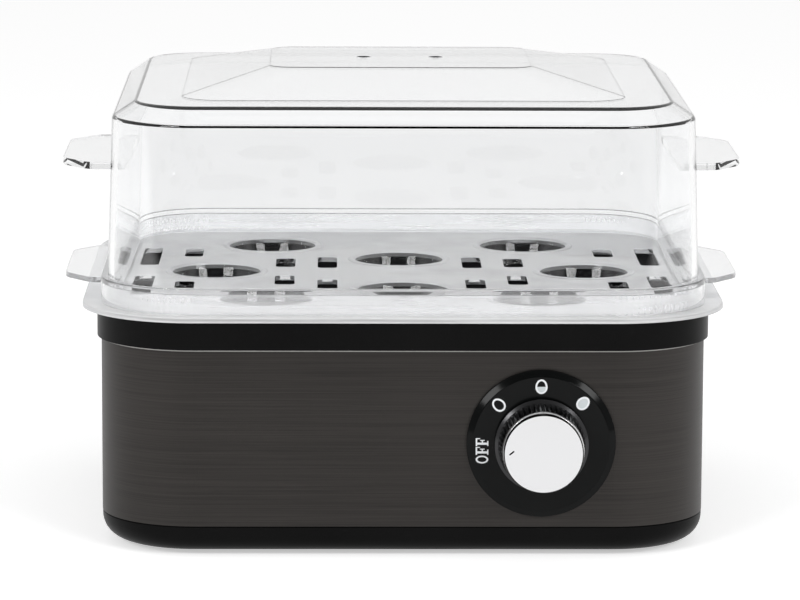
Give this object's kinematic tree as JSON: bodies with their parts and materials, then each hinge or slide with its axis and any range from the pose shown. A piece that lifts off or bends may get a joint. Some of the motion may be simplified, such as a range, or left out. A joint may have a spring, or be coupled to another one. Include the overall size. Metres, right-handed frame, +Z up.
{
  "type": "egg cooker",
  "caption": "Countertop electric egg cooker: dark metal band on a black base with a chrome dial knob, clear lift-off egg rack and clear lift-off lid.",
  "frame": {"origin": "on the surface the cooker stands on, under the middle of its body", "axes": "+X to the right seen from the front, -Y to the front where the dial is, +Z up"},
  "size_m": [0.2372, 0.2108, 0.157],
  "materials": {
    "black_moulding": "fine matt texture",
    "casing_metal": "dark brushed, lacquered",
    "foot_rubber": "matt",
    "seal_silicone": "translucent silicone",
    "pan_coating": "non-stick coating, semi-gloss",
    "zinc_steel": "zinc plated",
    "element_sheath": "drawn tube",
    "tab_brass": "tinned brass",
    "cutout_body": "phenolic moulding",
    "fuse_sleeve": "woven glass sleeve",
    "regulator_moulding": "glass-filled nylon",
    "cam_nylon": "natural nylon",
    "dial_gloss": "black gloss",
    "knob_plating": "satin chrome plate",
    "core_moulding": "moulded",
    "gland_moulding": "soft moulding",
    "block_moulding": "white polyamide",
    "clear_moulding": "clear polycarbonate, polished"
  },
  "bodies": {
    "base": {"bottom_cover": "black_moulding", "foot_pads": "foot_rubber", "bottom_screws": "zinc_steel", "casing_band": "casing_metal", "upper_frame": "black_moulding", "pan_seal": "seal_silicone", "heating_pan": "pan_coating", "pan_brackets": "zinc_steel", "bracket_nuts": "zinc_steel", "heater_element": "element_sheath", "heater_terminals": "tab_brass", "element_clamp": "zinc_steel", "clamp_nut": "zinc_steel", "limiter_thermostat": "cutout_body", "thermostat_nuts": "zinc_steel", "thermal_fuse": "fuse_sleeve", "fuse_clip": "zinc_steel", "regulator_body": "regulator_moulding", "regulator_bracket": "zinc_steel", "regulator_screws": "zinc_steel", "regulator_tabs": "tab_brass", "dial_plate": "dial_gloss", "cord_gland": "gland_moulding", "terminal_block": "block_moulding", "block_screws": "zinc_steel"},
    "knob": {"regulator_shaft": "zinc_steel", "regulator_cam": "cam_nylon", "knob_shell": "knob_plating", "knob_core": "core_moulding", "knob_clip": "zinc_steel"},
    "rack": {"egg_rack": "clear_moulding"},
    "lid": {"lid": "clear_moulding"}
  },
  "joints": [
    {"name": "knob_turn", "type": "hinge", "parent": "base", "child": "knob", "pos_m": [0.0463, -0.095, 0.04], "axis": [0, 1, 0], "range_deg": [0, 144]},
    {"name": "rack_lift", "type": "slide", "parent": "base", "child": "rack", "axis": [0, 0, 1], "range_m": [0, 0.06]},
    {"name": "lid_lift", "type": "slide", "parent": "rack", "child": "lid", "axis": [0, 0, 1], "range_m": [0, 0.12]}
  ]
}
